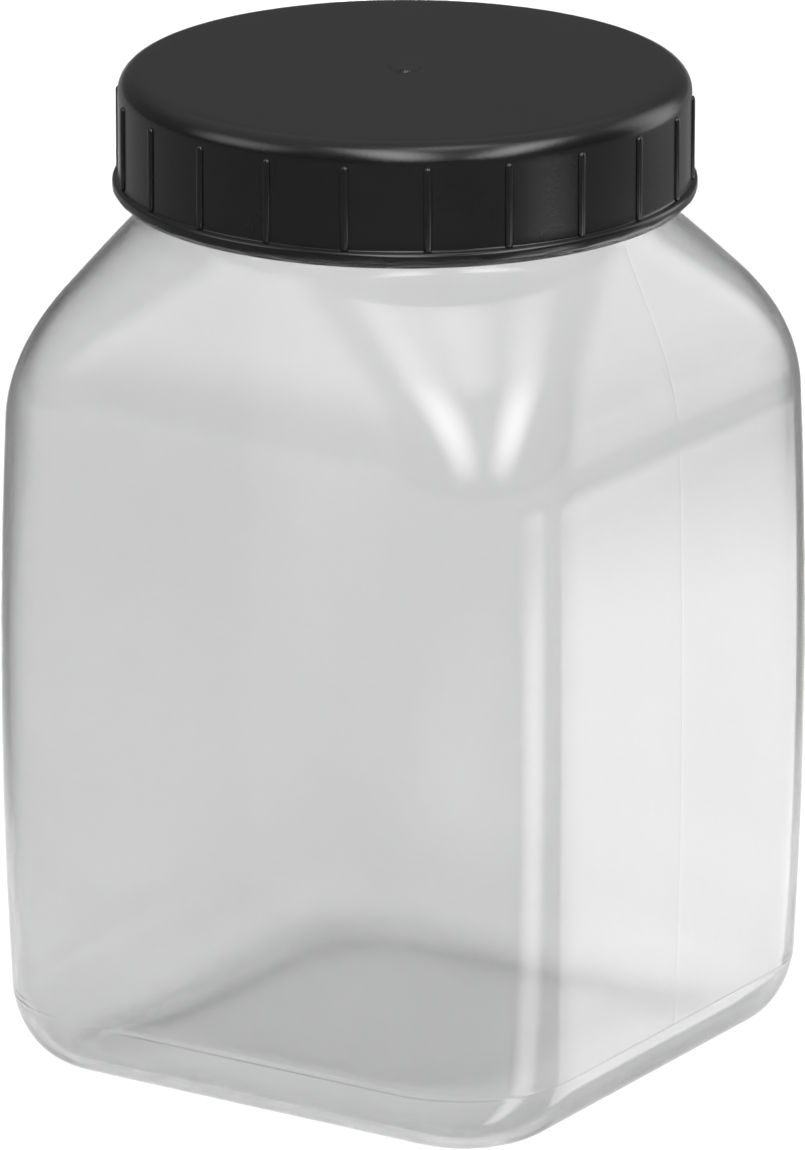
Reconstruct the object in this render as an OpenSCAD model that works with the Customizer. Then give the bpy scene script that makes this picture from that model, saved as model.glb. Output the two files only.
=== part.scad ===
// Square wide-neck specimen jar with a ribbed screw cap and a loose seal disc.
// Millimetres, +Z up. The origin is on the standing surface, under the middle of the jar.
// -Y is the front of the jar and the mould's parting plane is Y = 0.

/* [Jar walls] */
// Width across the flats at half height, the widest place
body_w = 120; // [112:1:130]
// Width across the flats just above the rounded heel
base_w = 118; // [110:1:120]
// Width across the flats where the shoulder begins
shoulder_w = 118.4; // [110:0.2:120]
// Radius of the four upright corners
corner_r = 23; // [18:1:28]
// Thickness of the blown wall
wall = 1.5; // [1.2:0.1:2]
// Height at which the upright wall ends and the shoulder begins
shoulder_z = 121; // [105:1:130]
// Radius of the curve from the wall into the shoulder
shoulder_r = 57.5; // [50:0.5:60]

/* [Heel and bottom] */
// How far the rounded heel runs in under the wall
heel_in = 11.8; // [8:0.2:14]
// Height of the rounded heel
heel_h = 15.8; // [10:0.2:20]
// Width of the flat ring that the jar stands on
stand_w = 3.5; // [2.5:0.5:6]
// Height of the push-up in the middle of the bottom
pushup_h = 2.4; // [1:0.2:4]
// Thickness of the bottom
floor_t = 1.8; // [1.4:0.1:2.5]

/* [Neck and thread] */
// Outer radius of the neck wall
neck_r = 47; // [46.5:0.1:47.4]
// Height at which the shoulder meets the neck
neck_z = 160; // [156:0.5:161]
// Thickness of the neck wall
neck_wall = 1.8; // [1.5:0.1:2.2]
// Rise of both threads in one turn
pitch = 6; // [5.5:0.1:6.5]
// How far the neck's thread stands out of the neck
thread_depth = 2.2; // [2:0.05:2.3]
// Turns of thread on the neck
neck_turns = 1.4; // [1:0.1:1.5]
// Turns of thread in the cap
cap_turns = 1.2; // [1:0.1:1.3]

/* [Cap] */
// Height of the whole jar with its cap on
total_h = 186; // [185.5:0.1:187]
// Height of the cap
cap_h = 22.8; // [22:0.1:23.2]
// Radius of the cap's side between the ribs
cap_r = 52.3; // [52:0.1:53]
// Radius of the round top edge
cap_edge_r = 3.9; // [2:0.1:4.5]
// Radius of the flange at the cap's foot
flange_r = 53.4; // [53.2:0.1:54]
// Height of the flange, up to its ledge
flange_h = 3; // [2.6:0.1:3.4]
// Inner radius of the cap's skirt
cap_bore_r = 50.1; // [50:0.05:50.3]
// Thickness of the cap's top plate
cap_top_t = 2.2; // [1.8:0.1:2.4]
// Number of grip ribs
ribs = 22; // [16:1:30]
// Radius of each rib's rounded section
rib_r = 0.8; // [0.6:0.05:1]
// Direction of the first rib when the cap is closed, in degrees from +X
rib_turn = 12.7; // [0:0.1:16]

/* [Seal disc] */
// Thickness of the seal disc
seal_t = 1.2; // [0.8:0.1:1.4]
// Radius of the seal disc
seal_r = 49.7; // [49.5:0.1:49.8]

/* [Hidden] */

base_half = base_w / 2;
body_half = body_w / 2;
shoulder_half = shoulder_w / 2;
stand_half = base_half - heel_in;
// The push-up: radius of its flat middle, and where it bends down towards the standing ring
pushup_r = 8;
bend_in = 2 * pushup_h;
bend_up = 0.85 * pushup_h;
// Corner radii at that bend and at the ring, as shares of the heel's own at its foot
bend_round = 0.6;
ring_round = 0.8;
cap_foot_z = total_h - cap_h;
cap_under_z = total_h - cap_top_t;
neck_top_z = cap_under_z - seal_t;
bore_r = neck_r - neck_wall;
// The shoulder ends a little wider than the neck on both faces, so that it holds the neck's foot
foot_out = 0.15;
foot_r = neck_r + foot_out;
foot_wall = neck_wall + 2 * foot_out;
// The shell is carried this far up inside the neck's wall
tuck = 1.5;

// Steps along each stretch of the wall's outline, and points in a quarter of its plan
heel_steps = 6;
wall_steps = 4;
arc_steps = 6;
slope_steps = 3;
quarter = 16;
// Above 1, the points of the plan crowd towards the corners
crowding = 1.3;
// How quickly the square plan turns round on its way up the shoulder
rounding = 1.3;

// The shoulder is an arc that runs out tangent to a straight slope ending at the neck
arc_x = shoulder_half - shoulder_r;
slope_x = foot_r - arc_x;
slope_z = neck_z - shoulder_z;
arc_end = atan2(slope_z, slope_x) - acos(shoulder_r / norm([slope_x, slope_z]));
arc_end_x = arc_x + shoulder_r * cos(arc_end);
arc_end_z = shoulder_z + shoulder_r * sin(arc_end);

// Threads: half widths at root and crest, the first turn's height, steps and the fade at each end
thread_root = 1.5;
thread_crest = 0.7;
thread_z = 167.6;
cap_thread_depth = 2.1;
// The cap's thread hangs this far under the neck's
thread_gap = 2.15;
steps_turn = 44;
fade_steps = 4;
// The fade starts this share of a step in, so that no end is a sharp edge
blunt = 0.2;
// Overlap of the threads with the wall that they stand on
bite = 0.4;
// The lip's arc starts this many degrees up from level and ends as many short
lip_start = 22.5;
lip_steps = 4;

// Small features of the cap
lip_in = 0.9;
ledge_r = 0.35;
foot_proud = 0.1;
bevel_h = 1.35;
// Share of a rib's radius that is sunk in the cap's side
rib_sunk = 0.3;
edge_steps = 6;
bead_r = 49.2;
bead_h = 0.7;
dish_r = 3.5;
dish_depth = 0.45;
gate_r = 1.0;
gate_h = 0.35;
slack = 0.05;

function mix(a, b, t) = a + (b - a) * t;

// Plan radius of a square with round corners, half width w and corner radius r, in direction a
function plan_r(w, r, a) =
    let (b = abs((a + 45) % 90 - 45))
    let (c = w - min(r, w))
    let (reach = c * (cos(b) + sin(b)))
    tan(b) * w <= c ? w / cos(b) : reach + sqrt(reach * reach - 2 * c * c + r * r);

// Directions of the plan's points, crowded towards the corners
function direction(i) =
    let (s = (i % quarter) * 2 / quarter - 1)
    90 * floor(i / quarter) + 45 + 45 * sign(s) * pow(abs(s), crowding);

// One ring of points for an outline entry [half width, height, corner radius]
function ring(e) = [
    for (i = [0:4 * quarter - 1])
        let (a = direction(i))
        let (d = plan_r(e[0], e[2], a))
        [d * cos(a), d * sin(a), e[1]]
];

// Outline of the heel, g inside the outer face, with its lowest point at z0
function heel(g, z0) = [
    for (i = [0:heel_steps])
        let (a = 90 * i / heel_steps)
        let (inset = (heel_in - g) * (1 - sin(a)))
        [base_half - g - inset, mix(heel_h, z0, cos(a)), corner_r - g - inset]
];

// Outline of the wall: a parabola through the base, body and shoulder widths
function upright(g) = [
    for (i = [1:wall_steps])
        let (t = i / wall_steps)
        let (ends = mix(base_half, shoulder_half, t))
        let (bulge = 4 * t * (1 - t) * (body_half - (base_half + shoulder_half) / 2))
        [ends + bulge - g, mix(heel_h, shoulder_z, t), corner_r - g]
];

// An entry of the shoulder's outline, with the corners growing into the round neck
function shoulder_entry(w, z, g) =
    let (t = (shoulder_half - w) / (shoulder_half - foot_r))
    [w - g, z, mix(corner_r, foot_r, pow(t, rounding)) - g];

function shoulder(g, top_g) = concat(
    [for (i = [1:arc_steps])
        let (a = arc_end * i / arc_steps)
        shoulder_entry(arc_x + shoulder_r * cos(a), shoulder_z + shoulder_r * sin(a), g)],
    [for (i = [1:slope_steps])
        let (t = i / slope_steps)
        shoulder_entry(mix(arc_end_x, foot_r, t), mix(arc_end_z, neck_z, t), mix(g, top_g, t))]
);

function reversed(list) = [for (i = [len(list) - 1:-1:0]) list[i]];

// Outline of the bottom, from the middle of the push-up out to the standing ring
function bottom(lift) =
    let (ring_half = stand_half - stand_w)
    let (foot = corner_r - heel_in)
    [
        [pushup_r, pushup_h + lift, pushup_r],
        [ring_half - bend_in, bend_up + lift, foot * bend_round],
        [ring_half, lift, foot * ring_round]
    ];

// Closed solid through a list of rings, capped flat at both ends
module loft(entries) {
    n = 4 * quarter;
    rings = [for (e = entries) ring(e)];
    last = len(entries) - 1;
    sides = [
        for (k = [0:last - 1], i = [0:n - 1])
            let (j = (i + 1) % n)
            each [
                [k * n + i, (k + 1) * n + i, (k + 1) * n + j],
                [k * n + i, (k + 1) * n + j, k * n + j]
            ]
    ];
    low = [for (i = [0:n - 1]) i];
    high = [for (i = [n - 1:-1:0]) last * n + i];
    polyhedron([for (r = rings) each r], concat([low, high], sides), convexity = 6);
}

// A helical ridge. It stands out of the wall at root_r, or into a bore when depth is negative.
module ridge(root_r, depth, z0, turns) {
    steps = round(turns * steps_turn);
    out = sign(depth);
    function section(k) =
        let (a = 360 * k / steps_turn)
        let (z = z0 + pitch * k / steps_turn)
        let (fade = min(1, (k + blunt) / fade_steps, (steps - k + blunt) / fade_steps))
        let (crest = root_r + depth * fade)
        let (root = root_r - out * bite)
        [
            for (p = [[root, -thread_root], [crest, -thread_crest], [crest, thread_crest], [root, thread_root]])
                [p[0] * cos(a), p[0] * sin(a), z + p[1]]
        ];
    sides = [
        for (k = [0:steps - 1], i = [0:3])
            let (j = (i + 1) % 4)
            each [
                [4 * k + i, 4 * k + 4 + i, 4 * k + 4 + j],
                [4 * k + i, 4 * k + 4 + j, 4 * k + j]
            ]
    ];
    e = 4 * steps;
    ends = [[0, 1, 2], [0, 2, 3], [e + 2, e + 1, e], [e + 3, e + 2, e]];
    faces = concat(ends, sides);
    polyhedron(
        [for (k = [0:steps]) each section(k)],
        out < 0 ? faces : [for (f = faces) reversed(f)],
        convexity = 6
    );
}

// One blown piece: walls, heel and bottom as a shell, then the neck with its thread
module jar_body() {
    outside = concat(bottom(0), heel(0, 0), upright(0), shoulder(0, 0));
    inside = concat(bottom(floor_t), heel(wall, floor_t), upright(wall), shoulder(wall, foot_wall));
    joint = [
        [neck_r - bite, neck_z + tuck, neck_r - bite],
        [bore_r + bite, neck_z + tuck, bore_r + bite]
    ];
    color([0.84, 0.85, 0.86, 0.35])
    union() {
        loft(concat(outside, joint, reversed(inside)));
        rotate_extrude($fn = 128)
            polygon(neck_outline());
        ridge(neck_r, thread_depth, thread_z, neck_turns);
    }
}

// Half section of the neck, with a rounded sealing lip
function neck_outline() =
    let (lip = neck_wall / 2)
    concat(
        [[bore_r, neck_z], [neck_r, neck_z]],
        [for (i = [0:lip_steps])
            let (a = lip_start + (180 - 2 * lip_start) * i / lip_steps)
            [neck_r - lip + lip * cos(a), neck_top_z - lip + lip * sin(a)]]
    );

// Half section of the cap: foot, flange, ledge, side, round top edge, top plate and bore
function cap_outline() = concat(
    [
        [cap_bore_r + lip_in, cap_foot_z],
        [cap_r + foot_proud, cap_foot_z],
        [flange_r, cap_foot_z + bevel_h],
        [flange_r, cap_foot_z + flange_h - ledge_r],
        [flange_r - ledge_r, cap_foot_z + flange_h],
        [cap_r, cap_foot_z + flange_h]
    ],
    [for (i = [0:edge_steps])
        let (a = 90 * i / edge_steps)
        [cap_r - cap_edge_r * (1 - cos(a)), total_h - cap_edge_r * (1 - sin(a))]],
    [
        [0, total_h],
        [0, cap_under_z],
        [cap_bore_r, cap_under_z],
        [cap_bore_r, neck_top_z - slack],
        [bead_r, neck_top_z - slack],
        [bead_r, neck_top_z - slack - bead_h / 2],
        [cap_bore_r, neck_top_z - slack - bead_h * 1.5],
        [cap_bore_r, cap_foot_z + lip_in]
    ]
);

// One moulded piece: plate, ribbed skirt, flange, liner bead and inside thread
module screw_cap() {
    rib_low = cap_foot_z + flange_h - ledge_r;
    rib_top = total_h - cap_edge_r - rib_r;
    dish_sphere = (dish_r * dish_r + dish_depth * dish_depth) / (2 * dish_depth);
    color([0.07, 0.07, 0.075])
    union() {
        difference() {
            rotate_extrude($fn = 128)
                polygon(cap_outline());
            translate([0, 0, total_h + dish_sphere - dish_depth])
                sphere(r = dish_sphere, $fn = 96);
        }
        translate([0, 0, total_h - dish_depth - gate_h])
            cylinder(r = gate_r, h = gate_h * 2, $fn = 24);
        for (i = [0:ribs - 1])
            rotate([0, 0, rib_turn + 360 * i / ribs])
                translate([cap_r - rib_r * rib_sunk, 0, rib_low])
                    rib(rib_top - rib_low);
        ridge(cap_bore_r, -cap_thread_depth, thread_z - thread_gap, cap_turns);
    }
}

// A grip rib: an upright rod with a round upper end
module rib(h) {
    cylinder(r = rib_r, h = h, $fn = 24);
    translate([0, 0, h])
        sphere(r = rib_r, $fn = 24);
}

// Loose disc that the cap presses on the lip
module seal_disc() {
    color([0.93, 0.93, 0.9])
    translate([0, 0, neck_top_z])
        cylinder(r = seal_r, h = seal_t, $fn = 128);
}

jar_body();
screw_cap();
seal_disc();
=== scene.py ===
import math

import bpy
import numpy as np
from mathutils import Matrix, Vector


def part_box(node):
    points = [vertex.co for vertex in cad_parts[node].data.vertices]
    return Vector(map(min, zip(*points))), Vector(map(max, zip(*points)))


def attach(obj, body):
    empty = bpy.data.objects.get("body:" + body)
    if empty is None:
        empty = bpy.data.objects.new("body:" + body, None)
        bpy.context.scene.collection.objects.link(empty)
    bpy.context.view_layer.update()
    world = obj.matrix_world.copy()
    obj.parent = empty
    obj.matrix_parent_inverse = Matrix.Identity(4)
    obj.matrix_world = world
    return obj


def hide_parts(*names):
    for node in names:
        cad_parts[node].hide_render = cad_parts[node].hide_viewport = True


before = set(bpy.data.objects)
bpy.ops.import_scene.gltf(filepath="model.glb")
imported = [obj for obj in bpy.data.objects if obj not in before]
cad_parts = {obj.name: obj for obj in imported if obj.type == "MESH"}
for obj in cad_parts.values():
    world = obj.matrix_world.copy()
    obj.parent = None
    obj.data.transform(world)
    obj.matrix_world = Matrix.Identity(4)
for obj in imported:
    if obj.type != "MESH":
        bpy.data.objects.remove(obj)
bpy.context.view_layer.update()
mm = 0.001
planAttributes = ("planAngle", "planHalf", "planCorner", "planHeight", "planProud")


def place(tree, kind, **settings):
    node = tree.nodes.new(kind)
    for name, value in settings.items():
        setattr(node, name, value)
    return node


def feed(tree, socket, value):
    # a socket takes either another socket's link or a plain value
    if isinstance(value, bpy.types.NodeSocket):
        tree.links.new(value, socket)
    else:
        socket.default_value = value


def calc(tree, operation, *values):
    node = place(tree, "ShaderNodeMath", operation=operation)
    for socket, value in zip(node.inputs, values):
        feed(tree, socket, value)
    return node.outputs[0]


def addSocket(tree, name, kind, way, value=None, low=None, high=None):
    socket = tree.interface.new_socket(name, in_out=way, socket_type=kind)
    if value is not None:
        socket.default_value = value
    if low is not None:
        socket.min_value = low
    if high is not None:
        socket.max_value = high
    return socket


def setInput(modifier, name, value):
    # a modifier's inputs go by identifier, which the tree's interface gives for each name
    for item in modifier.node_group.interface.items_tree:
        if item.name == name and item.in_out == "INPUT":
            modifier[item.identifier] = value


def bakeNodes(piece, name):
    # turns the evaluated result into a plain mesh and drops the modifier with it
    bpy.context.view_layer.update()
    depsgraph = bpy.context.evaluated_depsgraph_get()
    mesh = bpy.data.meshes.new_from_object(piece.evaluated_get(depsgraph))
    for key in planAttributes:
        if key in mesh.attributes:
            mesh.attributes.remove(mesh.attributes[key])
    piece.modifiers.clear()
    old = piece.data
    piece.data = mesh
    bpy.data.meshes.remove(old)
    piece.name = name
    mesh.name = name
    return piece


def addObject(name, mesh):
    piece = bpy.data.objects.new(name, mesh)
    bpy.context.scene.collection.objects.link(piece)
    return piece


def makePlanTree():
    # each point stands at its angle on a square with round corners: half its width, corner radius, height
    tree = bpy.data.node_groups.new("roundedPlan", "GeometryNodeTree")
    addSocket(tree, "Geometry", "NodeSocketGeometry", "INPUT")
    addSocket(tree, "Material", "NodeSocketMaterial", "INPUT")
    addSocket(tree, "Geometry", "NodeSocketGeometry", "OUTPUT")
    start = place(tree, "NodeGroupInput")
    end = place(tree, "NodeGroupOutput")

    def read(name):
        node = place(tree, "GeometryNodeInputNamedAttribute", data_type="FLOAT")
        node.inputs["Name"].default_value = name
        return node.outputs["Attribute"]

    angle, half, corner, height, proud = [read(n) for n in planAttributes]
    fold = calc(tree, "ABSOLUTE", calc(tree, "WRAP", angle, math.pi / 4, -math.pi / 4))
    cosine = calc(tree, "COSINE", fold)
    inner = calc(tree, "SUBTRACT", half, calc(tree, "MINIMUM", corner, half))
    onFlat = calc(tree, "LESS_THAN", calc(tree, "MULTIPLY", calc(tree, "TANGENT", fold), half), inner)
    reach = calc(tree, "MULTIPLY", inner, calc(tree, "ADD", cosine, calc(tree, "SINE", fold)))
    rest = calc(tree, "SUBTRACT", calc(tree, "MULTIPLY", corner, corner),
                calc(tree, "MULTIPLY", calc(tree, "MULTIPLY", inner, inner), 2.0))
    rest = calc(tree, "MAXIMUM", calc(tree, "ADD", rest, calc(tree, "MULTIPLY", reach, reach)), 0.0)
    bow = calc(tree, "ADD", reach, calc(tree, "SQRT", rest))
    flat = calc(tree, "DIVIDE", half, cosine)
    radius = calc(tree, "ADD", bow, calc(tree, "MULTIPLY", onFlat, calc(tree, "SUBTRACT", flat, bow)))
    radius = calc(tree, "ADD", radius, proud)
    spot = place(tree, "ShaderNodeCombineXYZ")
    feed(tree, spot.inputs[0], calc(tree, "MULTIPLY", radius, calc(tree, "COSINE", angle)))
    feed(tree, spot.inputs[1], calc(tree, "MULTIPLY", radius, calc(tree, "SINE", angle)))
    feed(tree, spot.inputs[2], height)
    move = place(tree, "GeometryNodeSetPosition")
    feed(tree, move.inputs["Geometry"], start.outputs["Geometry"])
    feed(tree, move.inputs["Position"], spot.outputs[0])
    real = place(tree, "GeometryNodeRealizeInstances")
    feed(tree, real.inputs[0], move.outputs[0])
    paint = place(tree, "GeometryNodeSetMaterial")
    feed(tree, paint.inputs["Geometry"], real.outputs[0])
    feed(tree, paint.inputs["Material"], start.outputs["Material"])
    feed(tree, end.inputs[0], paint.outputs[0])
    return tree


planTree = makePlanTree()


def makeWall(name, outline, angles, proud, material):
    # outline is a closed path of (half width, height, corner radius), and its two ends are poles,
    # and a fourth value may follow, which the proud function reads
    rings = np.array(outline, float)
    count, around = len(rings), len(angles)
    middle = rings[1:-1]
    grid = np.repeat(middle, around, axis=0)
    turn = np.tile(angles, count - 2)
    values = {
        "planAngle": np.concatenate([[0.0], turn, [0.0]]),
        "planHalf": np.concatenate([[0.0], grid[:, 0], [0.0]]),
        "planHeight": np.concatenate([[rings[0, 1]], grid[:, 1], [rings[-1, 1]]]),
        "planCorner": np.concatenate([[0.0], grid[:, 2], [0.0]]),
        "planProud": np.concatenate([[0.0], proud(grid, turn), [0.0]]),
    }
    faces = []
    for i in range(around):
        j = (i + 1) % around
        faces.append((0, 1 + j, 1 + i))
        last = 1 + (count - 3) * around
        faces.append((last + around, last + i, last + j))
    for k in range(count - 3):
        a, b = 1 + k * around, 1 + (k + 1) * around
        for i in range(around):
            j = (i + 1) % around
            faces.append((a + i, a + j, b + j, b + i))
    mesh = bpy.data.meshes.new(name)
    mesh.from_pydata([(0, 0, 0)] * ((count - 2) * around + 2), [], faces)
    for key, data in values.items():
        mesh.attributes.new(key, "FLOAT", "POINT").data.foreach_set("value", data.astype(np.float32))
    piece = addObject(name, mesh)
    modifier = piece.modifiers.new("plan", "NODES")
    modifier.node_group = planTree
    setInput(modifier, "Material", material)
    bakeNodes(piece, name)
    piece.data.shade_smooth()
    return piece


def mix(a, b, t):
    return a + (b - a) * t


def arc(x, z, radius, start, end, steps):
    # points of an arc in the half section, angles in degrees, without the first one
    turns = np.radians(np.linspace(start, end, steps + 1)[1:])
    return [(x + radius * math.cos(t), z + radius * math.sin(t)) for t in turns]


def ridgeShape(height, angles, start, pitch, turns, rootHalf, crestHalf):
    # 0 to 1 across a helical ridge that climbs pitch in each turn and fades in at both ends
    runIn = 0.09  # of a turn
    total = np.zeros_like(height)
    for lap in range(int(math.ceil(turns))):
        along = angles / (2 * math.pi) % 1 + lap
        middle = start + pitch * along
        across = np.clip((rootHalf - np.abs(height - middle)) / (rootHalf - crestHalf), 0, 1)
        across = across * across * (3 - 2 * across)
        ends = np.clip(np.minimum(along, turns - along) / runIn, 0, 1)
        total = np.maximum(total, across * ends)
    return total


def startGroup(name, inputs, outputs):
    tree = bpy.data.node_groups.new(name, "ShaderNodeTree")
    for label, kind, value in inputs:
        addSocket(tree, label, kind, "INPUT", value)
    for label, kind in outputs:
        addSocket(tree, label, kind, "OUTPUT")
    return tree, place(tree, "NodeGroupInput"), place(tree, "NodeGroupOutput")


def makeSpeckGroup():
    # small specks of dust, scattered by cells, of which only a few hold one
    tree, start, end = startGroup(
        "dustSpecks",
        [("Scale", "NodeSocketFloat", 200.0), ("Size", "NodeSocketFloat", 0.1),
         ("Share", "NodeSocketFloat", 0.1), ("Seed", "NodeSocketFloat", 0.0)],
        [("Mask", "NodeSocketFloat")])
    spot = place(tree, "ShaderNodeTexCoord").outputs["Object"]
    cells = place(tree, "ShaderNodeTexVoronoi", voronoi_dimensions="4D", feature="F1")
    feed(tree, cells.inputs["Vector"], spot)
    feed(tree, cells.inputs["W"], start.outputs["Seed"])
    feed(tree, cells.inputs["Scale"], start.outputs["Scale"])
    split = place(tree, "ShaderNodeSeparateColor")
    feed(tree, split.inputs[0], cells.outputs["Color"])
    chosen = calc(tree, "LESS_THAN", split.outputs[0], start.outputs["Share"])
    reach = calc(tree, "MULTIPLY", start.outputs["Size"], calc(tree, "ADD", split.outputs[1], 0.3))
    near = calc(tree, "LESS_THAN", cells.outputs["Distance"], reach)
    feed(tree, end.inputs["Mask"], calc(tree, "MULTIPLY", near, chosen))
    return tree


def makeSkinGroup():
    # slow cloudiness and a fine grain: a roughness, and a height for a Bump node
    tree, start, end = startGroup(
        "mouldedSkin",
        [("Roughness", "NodeSocketFloat", 0.3), ("Spread", "NodeSocketFloat", 0.1),
         ("Cloud Scale", "NodeSocketFloat", 30.0), ("Grain Scale", "NodeSocketFloat", 900.0),
         ("Grain", "NodeSocketFloat", 0.2)],
        [("Roughness", "NodeSocketFloat"), ("Height", "NodeSocketFloat"), ("Cloud", "NodeSocketFloat")])
    spot = place(tree, "ShaderNodeTexCoord").outputs["Object"]
    cloud = place(tree, "ShaderNodeTexNoise", noise_dimensions="3D")
    feed(tree, cloud.inputs["Vector"], spot)
    feed(tree, cloud.inputs["Scale"], start.outputs["Cloud Scale"])
    cloud.inputs["Detail"].default_value = 3.0
    grain = place(tree, "ShaderNodeTexNoise", noise_dimensions="3D")
    feed(tree, grain.inputs["Vector"], spot)
    feed(tree, grain.inputs["Scale"], start.outputs["Grain Scale"])
    grain.inputs["Detail"].default_value = 2.0
    lean = calc(tree, "SUBTRACT", cloud.outputs["Fac"], 0.5)
    drift = calc(tree, "MULTIPLY", lean, start.outputs["Spread"])
    rough = calc(tree, "ADD", start.outputs["Roughness"], drift)
    feed(tree, end.inputs["Roughness"], calc(tree, "MAXIMUM", rough, 0.0))
    fine = calc(tree, "MULTIPLY", grain.outputs["Fac"], start.outputs["Grain"])
    feed(tree, end.inputs["Height"], calc(tree, "ADD", cloud.outputs["Fac"], fine))
    feed(tree, end.inputs["Cloud"], cloud.outputs["Fac"])
    return tree


speckGroup = makeSpeckGroup()
skinGroup = makeSkinGroup()


def startMaterial(name):
    material = bpy.data.materials.new(name)
    material.use_nodes = True
    tree = material.node_tree
    return material, tree, tree.nodes["Principled BSDF"]


def useGroup(tree, group, values):
    node = place(tree, "ShaderNodeGroup", node_tree=group)
    for name, value in values.items():
        node.inputs[name].default_value = value
    return node


def useSkin(tree, look):
    return useGroup(tree, skinGroup, {
        "Roughness": look["roughness"], "Spread": look["spread"], "Cloud Scale": look["cloudScale"],
        "Grain Scale": look["grainScale"], "Grain": look["grain"]})


def useSpecks(tree, look):
    return useGroup(tree, speckGroup, {
        "Scale": look["speckScale"], "Size": look["speckSize"],
        "Share": look["speckShare"], "Seed": look["speckSeed"]})


def mixColour(tree, factor, first, second):
    node = place(tree, "ShaderNodeMix", data_type="RGBA")
    feed(tree, node.inputs[0], factor)
    feed(tree, node.inputs[6], first)
    feed(tree, node.inputs[7], second)
    return node.outputs[2]


def raiseBump(tree, shader, height, strength, distance):
    bump = place(tree, "ShaderNodeBump")
    bump.inputs["Strength"].default_value = strength
    bump.inputs["Distance"].default_value = distance
    feed(tree, bump.inputs["Height"], height)
    feed(tree, shader.inputs["Normal"], bump.outputs[0])


clearLook = {
    "tint": (0.796, 0.796, 0.796, 1),
    "heelTint": (0.726, 0.726, 0.726, 1),  # darker towards the bottom
    "heelTo": 7 * mm,
    "wallFrom": 30 * mm,
    "lampTint": (0.97, 0.97, 0.97, 1),  # of each of a wall's two faces
    "speckTint": (0.25, 0.25, 0.25, 1),
    "ior": 1.48,
    "roughness": 0.12,
    "spread": 0.05,
    "transmission": 1.0,
    "cloudScale": 14.0,
    "grainScale": 300.0,
    "grain": 0.0,
    "bump": 0.35,
    "wave": 0.4 * mm,
    "speckScale": 260.0,
    "speckSize": 0.07,
    "speckShare": 0.02,
    "speckSeed": 3.0,
}


def makeClearPlastic():
    material, tree, shader = startMaterial("clearPlastic")
    skin = useSkin(tree, clearLook)
    specks = useSpecks(tree, clearLook)
    split = place(tree, "ShaderNodeSeparateXYZ")
    feed(tree, split.inputs[0], place(tree, "ShaderNodeTexCoord").outputs["Object"])
    # the tint darkens towards the bottom, gradually from wallFrom down and fully below heelTo
    climb = place(tree, "ShaderNodeMapRange", interpolation_type="SMOOTHSTEP")
    feed(tree, climb.inputs["Value"], split.outputs["Z"])
    climb.inputs["From Min"].default_value = clearLook["heelTo"]
    climb.inputs["From Max"].default_value = clearLook["wallFrom"]
    plain = mixColour(tree, climb.outputs["Result"], clearLook["heelTint"], clearLook["tint"])
    colour = mixColour(tree, specks.outputs["Mask"], plain, clearLook["speckTint"])
    feed(tree, shader.inputs["Base Color"], colour)
    feed(tree, shader.inputs["Roughness"], skin.outputs["Roughness"])
    shader.inputs["Transmission Weight"].default_value = clearLook["transmission"]
    shader.inputs["IOR"].default_value = clearLook["ior"]
    raiseBump(tree, shader, skin.outputs["Height"], clearLook["bump"], clearLook["wave"])
    # lamps shine through the wall, so that what stands behind it is lit
    letThrough = place(tree, "ShaderNodeBsdfTransparent")
    letThrough.inputs["Color"].default_value = clearLook["lampTint"]
    either = place(tree, "ShaderNodeMixShader")
    feed(tree, either.inputs[0], place(tree, "ShaderNodeLightPath").outputs["Is Shadow Ray"])
    feed(tree, either.inputs[1], shader.outputs[0])
    feed(tree, either.inputs[2], letThrough.outputs[0])
    feed(tree, tree.nodes["Material Output"].inputs["Surface"], either.outputs[0])
    return material


blackLook = {
    "base": (0.0092, 0.0092, 0.0092, 1),
    "pale": (0.0142, 0.0142, 0.0142, 1),
    "dust": (0.30, 0.30, 0.30, 1),
    "roughness": 0.21,
    "spread": 0.1,
    "specular": 0.4,
    "cloudScale": 45.0,
    "grainScale": 1500.0,
    "grain": 0.35,
    "bump": 0.25,
    "wave": 0.2 * mm,
    "speckScale": 330.0,
    "speckSize": 0.09,
    "speckShare": 0.035,
    "speckSeed": 1.0,
}


def makeBlackPlastic():
    material, tree, shader = startMaterial("blackPlastic")
    skin = useSkin(tree, blackLook)
    specks = useSpecks(tree, blackLook)
    base = mixColour(tree, skin.outputs["Cloud"], blackLook["base"], blackLook["pale"])
    dusty = mixColour(tree, specks.outputs["Mask"], base, blackLook["dust"])
    feed(tree, shader.inputs["Base Color"], dusty)
    feed(tree, shader.inputs["Roughness"], skin.outputs["Roughness"])
    shader.inputs["Specular IOR Level"].default_value = blackLook["specular"]
    raiseBump(tree, shader, skin.outputs["Height"], blackLook["bump"], blackLook["wave"])
    return material


foamLook = {
    "base": (0.86, 0.86, 0.83, 1),
    "shade": (0.74, 0.74, 0.71, 1),
    "roughness": 0.75,
    "spread": 0.1,
    "cloudScale": 60.0,
    "grainScale": 1800.0,
    "grain": 0.9,
    "bump": 0.5,
    "wave": 0.3 * mm,
}


def makeFoam():
    material, tree, shader = startMaterial("sealFoam")
    skin = useSkin(tree, foamLook)
    feed(tree, shader.inputs["Base Color"],
         mixColour(tree, skin.outputs["Cloud"], foamLook["base"], foamLook["shade"]))
    feed(tree, shader.inputs["Roughness"], skin.outputs["Roughness"])
    raiseBump(tree, shader, skin.outputs["Height"], foamLook["bump"], foamLook["wave"])
    return material


clearPlastic = makeClearPlastic()
blackPlastic = makeBlackPlastic()
sealFoam = makeFoam()
print("finishes ready")


jarLow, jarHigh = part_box("jar_body")
capLow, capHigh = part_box("screw_cap")
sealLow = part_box("seal_disc")[0]

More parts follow.
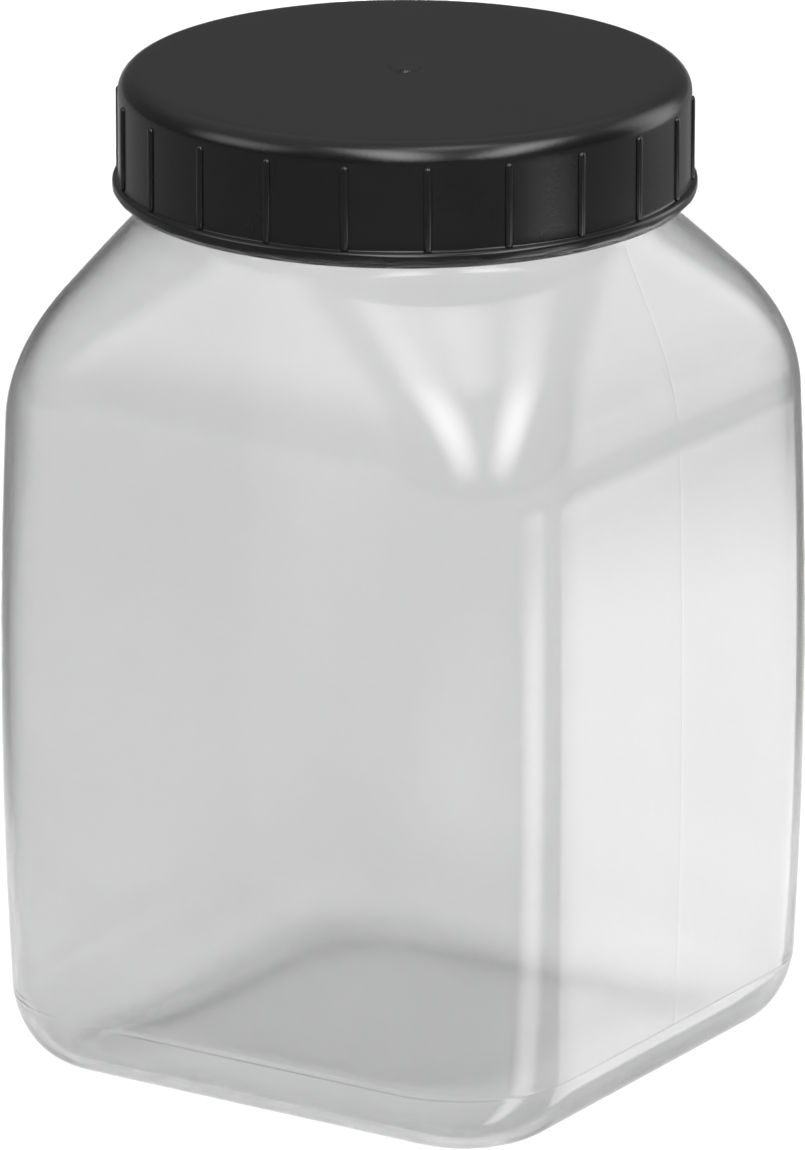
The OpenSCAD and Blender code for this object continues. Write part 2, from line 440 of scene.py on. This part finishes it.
jar = {
    "bodyHalf": (jarHigh.x - jarLow.x) / 2,
    "baseHalf": 59 * mm,
    "shoulderHalf": 59.2 * mm,
    "cornerRadius": 23 * mm,
    "wall": 1.5 * mm,
    "shoulderHeight": 121 * mm,
    "shoulderRadius": 57.5 * mm,
    "heelIn": 11.8 * mm,
    "heelHeight": 15.8 * mm,
    "standWidth": 3.5 * mm,
    "pushUp": 2.4 * mm,
    "floor": 1.8 * mm,
    "neckRadius": 47 * mm,
    "neckHeight": 160 * mm,
    "neckWall": 1.8 * mm,
    "fillet": 2.6 * mm,
    "top": jarHigh.z,
    "rounding": 1.3,
    "threadPitch": 6 * mm,
    "threadDepth": 2.2 * mm,
    "threadStart": 167.6 * mm,
    "threadTurns": 1.4,
    "threadRoot": 1.5 * mm,  # half widths
    "threadCrest": 0.7 * mm,
    "threadClear": 2 * mm,
    "partingHeight": 12.9 * mm,
    "partingWidth": 0.3 * mm,
    "partingProud": 0.07 * mm,
    "seamProud": 0.035 * mm,
    "seamWidth": 0.3,  # degrees
    "seamPoints": (-0.45, -0.22, 0.22, 0.45),
    "around": 56,
    "crowding": 1.25,
    "bottomSteps": 18,
    "bottomFirst": 0.06,  # shares of the push-up's half width
    "pushFrom": 0.72,
    "outerSteps": {"heel": 28, "wall": 36, "shoulder": 26, "neck": 44},
    "innerSteps": {"heel": 20, "wall": 24, "shoulder": 22, "neck": 6},
}


def jarAngles():
    # points crowd towards the corners, with a few close ones at the mould's seam on the two side faces
    steps = np.linspace(-1, 1, jar["around"] + 1)[:-1]
    quarter = 45 + 45 * np.sign(steps) * np.abs(steps) ** jar["crowding"]
    turns = np.concatenate([quarter + 90 * q for q in range(4)])
    seam = [d + s for s in (0.0, 180.0) for d in jar["seamPoints"]]
    turns = np.unique(np.concatenate([turns, np.array(seam) % 360]))
    return np.radians(turns)


def jarShoulder(inset, topInset, steps):
    # an arc, then a straight slope that turns upright into the neck by a fillet
    middle = jar["shoulderHalf"] - jar["shoulderRadius"]
    across, up = jar["neckRadius"] - middle, jar["neckHeight"] - jar["shoulderHeight"]
    end = math.atan2(up, across) - math.acos(jar["shoulderRadius"] / math.hypot(across, up))
    points = arc(middle, jar["shoulderHeight"], jar["shoulderRadius"], 0, math.degrees(end), steps)
    lastX, lastZ = points[-1]
    length = math.hypot(lastX - jar["neckRadius"], jar["neckHeight"] - lastZ)
    straight = 1 - jar["fillet"] / length
    slope = steps // 2
    points += [(mix(lastX, jar["neckRadius"], t), mix(lastZ, jar["neckHeight"], t))
               for t in np.linspace(0, straight, slope + 1)[1:]]
    startX, startZ = points[-1]
    filletTop = jar["neckHeight"] + jar["fillet"]
    for t in np.linspace(0, 1, 11)[1:]:
        x = mix(mix(startX, jar["neckRadius"], t), jar["neckRadius"], t)
        z = mix(mix(startZ, jar["neckHeight"], t), mix(jar["neckHeight"], filletTop, t), t)
        points.append((x, z))
    rings = []
    for x, z in points:
        share = (jar["shoulderHalf"] - x) / (jar["shoulderHalf"] - jar["neckRadius"])
        corner = mix(jar["cornerRadius"], jar["neckRadius"], min(max(share, 0), 1) ** jar["rounding"])
        late = min(1, max(0, (z - lastZ) / (jar["neckHeight"] - lastZ)))
        cut = mix(inset, topInset, late)
        rings.append((x - cut, z, corner - cut))
    return rings


def jarHeel(inset, low, steps):
    rings = []
    for a in np.radians(np.linspace(0, 90, steps + 1)):
        short = (jar["heelIn"] - inset) * (1 - math.sin(a))
        rings.append((jar["baseHalf"] - inset - short, mix(jar["heelHeight"], low, math.cos(a)),
                      jar["cornerRadius"] - inset - short))
    return rings


def jarWall(inset, steps):
    rings = []
    for t in np.linspace(0, 1, steps + 1)[1:]:
        ends = mix(jar["baseHalf"], jar["shoulderHalf"], t)
        bulge = 4 * t * (1 - t) * (jar["bodyHalf"] - (jar["baseHalf"] + jar["shoulderHalf"]) / 2)
        rings.append((ends + bulge - inset, mix(jar["heelHeight"], jar["shoulderHeight"], t),
                      jar["cornerRadius"] - inset))
    return rings


def jarBottom(lift):
    inner = jar["baseHalf"] - jar["heelIn"] - jar["standWidth"]
    foot = jar["cornerRadius"] - jar["heelIn"]
    rings = [(0, jar["pushUp"] + lift, 0)]
    for t in np.linspace(jar["bottomFirst"], 1, jar["bottomSteps"]):
        late = min(1, max(0, (t - jar["pushFrom"]) / (1 - jar["pushFrom"])))
        rise = math.cos(late * math.pi) * 0.5 + 0.5
        half = inner * t
        rings.append((half, jar["pushUp"] * rise + lift, mix(half, foot * 0.8, t ** 1.5)))
    return rings


def neckOuter(steps):
    lip = jar["neckWall"] / 2
    heights = np.linspace(jar["neckHeight"] + jar["fillet"], jar["top"] - lip, steps + 1)[1:]
    rings = [(jar["neckRadius"], z, jar["neckRadius"]) for z in heights]
    rings += [(x, z, x) for x, z in arc(jar["neckRadius"] - lip, jar["top"] - lip, lip, 0, 180, 10)]
    return rings


def neckInner(steps):
    inner = jar["neckRadius"] - jar["neckWall"]
    lip, low = jar["top"] - jar["neckWall"] / 2, jar["neckHeight"] + jar["fillet"]
    heights = np.linspace(lip, low, steps + 1)[1:-1]
    return [(inner, z, inner) for z in heights]


def jarProud(grid, turn):
    half, height, outer = grid[:, 0], grid[:, 1], grid[:, 3] > 0
    finish = jar["neckHeight"] + jar["fillet"]
    onNeck = outer & (height > finish) & (height < jar["top"] - jar["threadClear"])
    ridge = ridgeShape(height, turn, jar["threadStart"], jar["threadPitch"], jar["threadTurns"],
                       jar["threadRoot"], jar["threadCrest"])
    proud = np.where(onNeck, ridge * jar["threadDepth"], 0)
    # the base insert's parting line runs round just under the top of the heel
    line = np.clip(1 - np.abs(height - jar["partingHeight"]) / jar["partingWidth"], 0, 1)
    proud += np.where(outer & (half > jar["baseHalf"] / 2), line * jar["partingProud"], 0)
    # the mould's seam climbs both side faces in the plane Y = 0
    degrees = np.degrees(turn) % 180
    near = np.minimum(degrees, 180 - degrees)
    shell = outer & (height > jar["partingHeight"]) & (height < jar["neckHeight"])
    seam = np.clip(1 - near / jar["seamWidth"], 0, 1)
    return proud + np.where(shell, seam * jar["seamProud"], 0)


def addLine(rings, height, width):
    # extra rings close to a height, so that a fine line keeps its shape
    lows = [r for r in rings if r[1] < height - width * 1.5]
    highs = [r for r in rings if r[1] > height + width * 1.5]
    a, b = lows[-1], highs[0]
    between = []
    for step in (-1, -0.5, 0, 0.5, 1):
        z = height + step * width
        t = (z - a[1]) / (b[1] - a[1])
        between.append((mix(a[0], b[0], t), z, mix(a[2], b[2], t)))
    return lows + between + highs


def makeJar():
    count, wall = jar["outerSteps"], jar["wall"]
    heel = addLine(jarHeel(0, 0, count["heel"]), jar["partingHeight"], jar["partingWidth"])
    outer = jarBottom(0) + heel + jarWall(0, count["wall"])
    outer += jarShoulder(0, 0, count["shoulder"]) + neckOuter(count["neck"])
    count = jar["innerSteps"]
    inner = jarBottom(jar["floor"]) + jarHeel(wall, jar["floor"], count["heel"])
    inner += jarWall(wall, count["wall"]) + jarShoulder(wall, jar["neckWall"], count["shoulder"])
    inside = neckInner(count["neck"]) + inner[::-1]
    outline = [ring + (1,) for ring in outer] + [ring + (0,) for ring in inside]
    return makeWall("jarShell", outline, jarAngles(), jarProud, clearPlastic)


jarShell = makeJar()
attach(jarShell, "jar")
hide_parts("jar_body")
print("jar made")


cap = {
    "side": 52.3 * mm,
    "top": capHigh.z,
    "foot": capLow.z,
    "edge": 3.9 * mm,
    "flange": (capHigh.x - capLow.x) / 2,
    "flangeHeight": 3 * mm,
    "bore": 50.1 * mm,
    "plate": 2.2 * mm,
    "ribs": 22,
    "ribRadius": 0.8 * mm,
    "ribProud": 0.55 * mm,
    "ribTurn": 12.7,
    "scallops": 36,
    "scallopDepth": 0.3 * mm,
    "dish": 3.5 * mm,
    "dishDepth": 0.75 * mm,
    "gate": 1.0 * mm,
    "gateHeight": 0.8 * mm,
    "gateShape": [(0, 1), (0.5, 1), (0.8, 0.9), (1, 0.45), (1.15, 0.05)],  # shares of its radius and height
    "topRings": (3.8, 5, 8, 12, 18, 25, 32, 38, 43, 46, 47.6),  # mm from the middle
    "ledgeFillet": 0.35 * mm,
    "lipRound": 0.7 * mm,
    "drawIn": 1.25 * mm,  # height at which the flange starts to draw in, above the foot
    "footRound": 0.25 * mm,
    "scallopHeight": 1.5 * mm,
    "threadDepth": 2.1 * mm,
    "threadStart": 165.45 * mm,
    "threadTurns": 1.2,
    "threadRoot": 1.4 * mm,  # half widths
    "threadCrest": 0.6 * mm,
    "bead": 49.2 * mm,
    "sealGap": 0.05 * mm,
    "around": 396,
    "sideSteps": 12,
    "boreSteps": 56,
}


def capOutline():
    # from the middle of the top, down the side, round the foot and up the bore to the underside
    top, foot, side, edge = cap["top"], cap["foot"], cap["side"], cap["edge"]
    dish = top - cap["dishDepth"]
    points = [(cap["gate"] * r, dish + cap["gateHeight"] * h) for r, h in cap["gateShape"]]
    for t in np.linspace(0.35, 1, 12):
        points.append((cap["dish"] * t, top - cap["dishDepth"] * (1 - t * t)))
    points += [(x * mm, top) for x in cap["topRings"]]
    points += arc(side - edge, top - edge, edge, 90, 0, 14)

    ledge, fillet, lip = foot + cap["flangeHeight"], cap["ledgeFillet"], cap["lipRound"]
    heights = np.linspace(top - edge - 0.6 * mm, ledge + 0.5 * mm, cap["sideSteps"])
    points += [(side, z) for z in heights]
    points += arc(side + fillet, ledge + fillet, fillet, 180, 270, 4)
    points += [(cap["flange"] - lip, ledge)]
    points += arc(cap["flange"] - lip, ledge - lip, lip, 90, 0, 5)
    drawIn = foot + cap["drawIn"]
    points += [(cap["flange"], z) for z in (ledge - 0.8 * mm, foot + 1.6 * mm, drawIn)]
    for t in np.linspace(0.12, 1, 8):
        x = mix(cap["flange"], side + cap["footRound"], t)
        points.append((x, mix(drawIn, foot + cap["footRound"], t ** 0.7)))

    bore, plate = cap["bore"], top - cap["plate"]
    points += [(side - 0.1 * mm, foot), (bore + 1.1 * mm, foot), (bore + 0.8 * mm, foot + 0.15 * mm)]
    points += [(bore, foot + 0.9 * mm)]
    beadTop, bead = sealLow.z - cap["sealGap"], cap["bead"]
    heights = np.linspace(foot + 1.2 * mm, beadTop - 1.15 * mm, cap["boreSteps"])
    points += [(bore, z) for z in heights]
    points += [(bead + 0.15 * mm, beadTop - 0.5 * mm), (bead, beadTop - 0.3 * mm)]
    points += [(bead + 0.1 * mm, beadTop), (bore, beadTop + 0.02 * mm)]
    points += [(bore, plate - 0.3 * mm), (bore - 0.3 * mm, plate)]
    points += [(x * mm, plate) for x in (30, 12, 0)]
    return [(x, z, x) for x, z in points]


def capProud(grid, turn):
    half, height = grid[:, 0], grid[:, 1]
    inBore = (np.abs(half - cap["bore"]) < 0.01 * mm) & (height < sealLow.z - 2 * mm)
    ridge = ridgeShape(height, turn, cap["threadStart"], jar["threadPitch"], cap["threadTurns"],
                       cap["threadRoot"], cap["threadCrest"])
    proud = np.where(inBore, -ridge * cap["threadDepth"], 0)
    # shallow scoops in the foot's outer edge
    wave = np.abs(np.sin(turn * cap["scallops"] / 2)) ** 0.8
    level = np.clip((cap["foot"] + cap["scallopHeight"] - height) / (1.2 * mm), 0, 1)
    onFoot = half > cap["side"]
    return proud - np.where(onFoot, wave * level * cap["scallopDepth"], 0)


def makeCap():
    angles = np.linspace(0, 2 * math.pi, cap["around"], endpoint=False)
    shell = makeWall("capShell", capOutline(), angles, capProud, blackPlastic)
    shell.data.flip_normals()  # its outline runs the other way round from the jar's
    return shell


def makeRibMesh():
    # an upright bar with a half-round section and round tips, its back sunk in the cap's side
    low = cap["foot"] + cap["flangeHeight"] - 0.25 * mm
    high = cap["top"] - cap["edge"] - 0.2 * mm
    radius, across = cap["ribRadius"], 10
    rings = []
    for t in np.radians(np.linspace(8, 90, 5)):
        rings.append((radius * math.sin(t), low + radius * (1 - math.cos(t))))
    for t in np.radians(np.linspace(90, 8, 5)):
        rings.append((radius * math.sin(t), high - radius * (1 - math.cos(t))))
    flat = cap["ribProud"] / radius
    verts, faces = [], []
    for r, z in rings:
        for i in range(across):
            a = 2 * math.pi * i / across
            verts.append((r * math.cos(a) * (flat if math.cos(a) > 0 else 0.5), r * math.sin(a), z))
    for k in range(len(rings) - 1):
        for i in range(across):
            j = (i + 1) % across
            a, b = k * across, (k + 1) * across
            faces.append((a + i, a + j, b + j, b + i))
    faces.append(tuple(range(across - 1, -1, -1)))
    faces.append(tuple(range((len(rings) - 1) * across, len(rings) * across)))
    mesh = bpy.data.meshes.new("ribShape")
    mesh.from_pydata(verts, [], faces)
    return mesh


def makeRingTree():
    # copies of one shape round the axis, Count of them at Radius, the first one turned by Turn
    tree = bpy.data.node_groups.new("ringOfCopies", "GeometryNodeTree")
    addSocket(tree, "Geometry", "NodeSocketGeometry", "INPUT")
    addSocket(tree, "Shape", "NodeSocketObject", "INPUT")
    addSocket(tree, "Count", "NodeSocketInt", "INPUT", 12, 3, 400)
    addSocket(tree, "Radius", "NodeSocketFloat", "INPUT", 0.05, 0.001, 1.0)
    addSocket(tree, "Turn", "NodeSocketFloat", "INPUT", 0.0)
    addSocket(tree, "Material", "NodeSocketMaterial", "INPUT")
    addSocket(tree, "Geometry", "NodeSocketGeometry", "OUTPUT")
    start, end = place(tree, "NodeGroupInput"), place(tree, "NodeGroupOutput")
    line = place(tree, "GeometryNodeMeshLine", mode="OFFSET")
    feed(tree, line.inputs["Count"], start.outputs["Count"])
    line.inputs["Offset"].default_value = (0, 0, 0)
    index = place(tree, "GeometryNodeInputIndex").outputs[0]
    step = calc(tree, "DIVIDE", 2 * math.pi, start.outputs["Count"])
    angle = calc(tree, "ADD", calc(tree, "MULTIPLY", index, step), start.outputs["Turn"])
    spot = place(tree, "ShaderNodeCombineXYZ")
    feed(tree, spot.inputs[0], calc(tree, "MULTIPLY", start.outputs["Radius"], calc(tree, "COSINE", angle)))
    feed(tree, spot.inputs[1], calc(tree, "MULTIPLY", start.outputs["Radius"], calc(tree, "SINE", angle)))
    move = place(tree, "GeometryNodeSetPosition")
    feed(tree, move.inputs["Geometry"], line.outputs["Mesh"])
    feed(tree, move.inputs["Position"], spot.outputs[0])
    shape = place(tree, "GeometryNodeObjectInfo", transform_space="ORIGINAL")
    feed(tree, shape.inputs["Object"], start.outputs["Shape"])
    spin = place(tree, "ShaderNodeCombineXYZ")
    feed(tree, spin.inputs[2], angle)
    copies = place(tree, "GeometryNodeInstanceOnPoints")
    feed(tree, copies.inputs["Points"], move.outputs[0])
    feed(tree, copies.inputs["Instance"], shape.outputs["Geometry"])
    feed(tree, copies.inputs["Rotation"], spin.outputs[0])
    real = place(tree, "GeometryNodeRealizeInstances")
    feed(tree, real.inputs[0], copies.outputs[0])
    paint = place(tree, "GeometryNodeSetMaterial")
    feed(tree, paint.inputs["Geometry"], real.outputs[0])
    feed(tree, paint.inputs["Material"], start.outputs["Material"])
    feed(tree, end.inputs[0], paint.outputs[0])
    return tree


def makeRibs():
    shape = addObject("ribShape", makeRibMesh())
    piece = addObject("capRibs", bpy.data.meshes.new("capRibs"))
    modifier = piece.modifiers.new("ring", "NODES")
    modifier.node_group = makeRingTree()
    setInput(modifier, "Shape", shape)
    setInput(modifier, "Count", cap["ribs"])
    setInput(modifier, "Radius", cap["side"])
    setInput(modifier, "Turn", math.radians(cap["ribTurn"]))
    setInput(modifier, "Material", blackPlastic)
    bakeNodes(piece, "capRibs")
    bpy.data.objects.remove(shape)
    piece.data.shade_smooth()
    return piece


capShell = makeCap()
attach(capShell, "cap")
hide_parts("screw_cap")
capRibs = makeRibs()
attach(capRibs, "cap")
print("cap made")


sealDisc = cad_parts["seal_disc"]
sealDisc.data.materials.clear()
sealDisc.data.materials.append(sealFoam)


stage = {
    "size": 8.0,
    "floor": (0.90, 0.90, 0.90, 1),
    "floorRoughness": 0.9,
    "sky": (1.0, 1.0, 1.0, 1),
    "skyLow": 0.13,  # brightness near the horizon
    "skyHigh": 0.5,  # and overhead
    "skyFrom": 0.35,  # sine of the elevation where it starts to rise
    "skyTo": 0.85,
}
reflectors = [
    # seen only as reflections: top end (azimuth, elevation), bottom end, distance, width, brightness
    ("stripLeft", (-8, 74), (38, 12), 1.2, 0.50, 8.0),
    ("stripRight", (126, 58), (60, 12), 1.2, 0.44, 8.0),
    ("boxLeft", (-40, 50), (-40, 12), 1.4, 1.1, 2.7),
    ("boxTop", (75, 88), (75, 62), 1.2, 0.60, 3.0),
    ("boxRight", (150, 46), (150, -14), 0.9, 0.56, 2.5),
]
beam = {
    "azimuth": 212.8,
    "start": -0.45,
    "end": 1.35,
    "height": 0.5,
    "width": 0.30,
    "spread": 15,  # degrees
    "brightness": 0.97,
}
panelSteps = 12
panelHeight = 0.4 * mm
panelFade = [(0, 1), (0.75, 1), (0.95, 0.65), (1.15, 0.2), (1.3, 0)]  # shares of reach, of brightness
panels = [
    # bright sheets on the floor, seen only as reflections: the near edge's two ends, the azimuths
    # at them, reach, brightness, and whether it fades towards both sides
    ("panelRight", (0.063, -0.034), (0.063, 0.037), 128, 170, 0.42, 3.3, False),
    ("panelCorner", (0.052, -0.054), (0.057, -0.050), 82, 113, 0.48, 5.4, True),
    ("panelFar", (0.40, -0.16), (0.44, 0.0), 92, 116, 0.40, 1.2, True),
]


def makeStage():
    mesh = bpy.data.meshes.new("floor")
    size = stage["size"]
    corners = [(-size, -size, 0), (size, -size, 0), (size, size, 0), (-size, size, 0)]
    mesh.from_pydata(corners, [], [(0, 1, 2, 3)])
    floor = addObject("floor", mesh)
    material, tree, shader = startMaterial("floorPaint")
    shader.inputs["Base Color"].default_value = stage["floor"]
    shader.inputs["Roughness"].default_value = stage["floorRoughness"]
    shader.inputs["Specular IOR Level"].default_value = 0.0  # so that no box shows in it
    mesh.materials.append(material)
    world = bpy.data.worlds.new("studio")
    bpy.context.scene.world = world
    world.use_nodes = True
    tree = world.node_tree
    background = tree.nodes["Background"]
    background.inputs["Color"].default_value = stage["sky"]
    split = place(tree, "ShaderNodeSeparateXYZ")
    feed(tree, split.inputs[0], place(tree, "ShaderNodeTexCoord").outputs["Generated"])
    rise = place(tree, "ShaderNodeMapRange", interpolation_type="SMOOTHSTEP")
    feed(tree, rise.inputs["Value"], split.outputs[2])
    rise.inputs["From Min"].default_value = stage["skyFrom"]
    rise.inputs["From Max"].default_value = stage["skyTo"]
    rise.inputs["To Min"].default_value = stage["skyLow"]
    rise.inputs["To Max"].default_value = stage["skyHigh"]
    feed(tree, background.inputs["Strength"], rise.outputs[0])


def lookFrom(azimuth, elevation):
    # azimuth 0 stands in front of the jar, on -Y, and grows towards +X
    a, e = math.radians(azimuth), math.radians(elevation)
    return Vector((math.sin(a) * math.cos(e), -math.cos(a) * math.cos(e), math.sin(e)))


def aim(thing, azimuth, elevation, distance, target):
    back = lookFrom(azimuth, elevation)
    thing.location = Vector(target) + back * distance
    thing.rotation_euler = back.to_track_quat("Z", "Y").to_euler()


def softenLamp(data):
    # brightest in the middle of the box, fading to nothing at its edges
    data.use_nodes = True
    tree = data.node_tree
    split = place(tree, "ShaderNodeSeparateXYZ")
    feed(tree, split.inputs[0], place(tree, "ShaderNodeNewGeometry").outputs["Parametric"])
    waves = [calc(tree, "SINE", calc(tree, "MULTIPLY", split.outputs[i], math.pi)) for i in (0, 1)]
    feed(tree, tree.nodes["Emission"].inputs["Strength"], calc(tree, "MULTIPLY", waves[0], waves[1]))


def addLamp(name, centre, side, rise, width, height, brightness):
    # an area lamp of a given brightness, which faces against side x rise
    data = bpy.data.lights.new(name, "AREA")
    data.shape = "RECTANGLE"
    data.size = width
    data.size_y = height
    data.energy = brightness * math.pi * width * height
    lamp = addObject(name, data)
    turn = Matrix((side, rise, side.cross(rise))).transposed().to_4x4()
    lamp.matrix_world = Matrix.Translation(centre) @ turn
    lamp.visible_camera = False
    lamp.visible_transmission = False
    return lamp


def makeReflectors():
    target = Vector((0, 0, 0.1))
    for name, top, bottom, distance, width, brightness in reflectors:
        high, low = lookFrom(*top) * distance, lookFrom(*bottom) * distance
        back = (high + low).normalized()
        side = (high - low).cross(back).normalized()
        height = (high - low).length
        lamp = addLamp(name, target + (high + low) / 2, side, back.cross(side), width, height, brightness)
        lamp.visible_diffuse = False
        softenLamp(lamp.data)


def makeBeam():
    # lights a strip of the floor along the view, and the cap under it, without shadow or reflection
    away, side = lookFrom(beam["azimuth"], 0), lookFrom(beam["azimuth"] - 90, 0)
    length = beam["end"] - beam["start"]
    centre = away * (beam["start"] + beam["end"]) / 2 + Vector((0, 0, beam["height"]))
    lamp = addLamp("beam", centre, side, away, beam["width"], length, beam["brightness"])
    lamp.data.spread = math.radians(beam["spread"])
    lamp.data.use_shadow = False
    lamp.visible_glossy = False


def makePanel(name, first, last, firstAzimuth, lastAzimuth, reach, brightness, soft):
    # a fan that spreads from its near edge and fades towards its far one
    rows = len(panelFade)
    verts, faces, glow = [], [], []
    for i in range(panelSteps + 1):
        t = i / panelSteps
        near = Vector((mix(first[0], last[0], t), mix(first[1], last[1], t), panelHeight))
        outwards = lookFrom(mix(firstAzimuth, lastAzimuth, t), 0)
        side = math.sin(math.pi * t) if soft else 1.0
        for share, strength in panelFade:
            verts.append(near + outwards * reach * share)
            glow.append(side * strength)
        for k in range(1, rows if i else 0):
            here = rows * i + k
            faces.append((here - rows - 1, here - rows, here, here - 1))
    mesh = bpy.data.meshes.new(name)
    mesh.from_pydata(verts, [], faces)
    mesh.attributes.new("glow", "FLOAT", "POINT").data.foreach_set("value", glow)
    material = bpy.data.materials.new(name)
    material.use_nodes = True
    tree = material.node_tree
    tree.nodes.remove(tree.nodes["Principled BSDF"])
    emission = place(tree, "ShaderNodeEmission")
    level = place(tree, "ShaderNodeAttribute", attribute_name="glow")
    feed(tree, emission.inputs["Strength"], calc(tree, "MULTIPLY", level.outputs["Fac"], brightness))
    feed(tree, tree.nodes["Material Output"].inputs["Surface"], emission.outputs[0])
    mesh.materials.append(material)
    panel = addObject(name, mesh)
    panel.visible_camera = False
    panel.visible_diffuse = False
    panel.visible_transmission = False
    panel.visible_shadow = False


view = {
    "azimuth": 32.82,
    "elevation": 17.57,
    "distance": 2.2116,
    "target": (0, 0, 0.0885),
    "lens": 375.8,
    "shiftX": -0.00215,
    "shiftY": 0.00432,
}


def makeCamera():
    data = bpy.data.cameras.new("camera")
    data.lens = view["lens"]
    data.sensor_width = 36
    data.shift_x = view["shiftX"]
    data.shift_y = view["shiftY"]
    data.clip_start = 0.05
    camera = addObject("camera", data)
    aim(camera, view["azimuth"], view["elevation"], view["distance"], view["target"])
    bpy.context.scene.camera = camera


makeStage()
makeReflectors()
makeBeam()
for row in panels:
    makePanel(*row)
makeCamera()
bpy.context.scene.view_settings.view_transform = "Standard"
print("stage set")
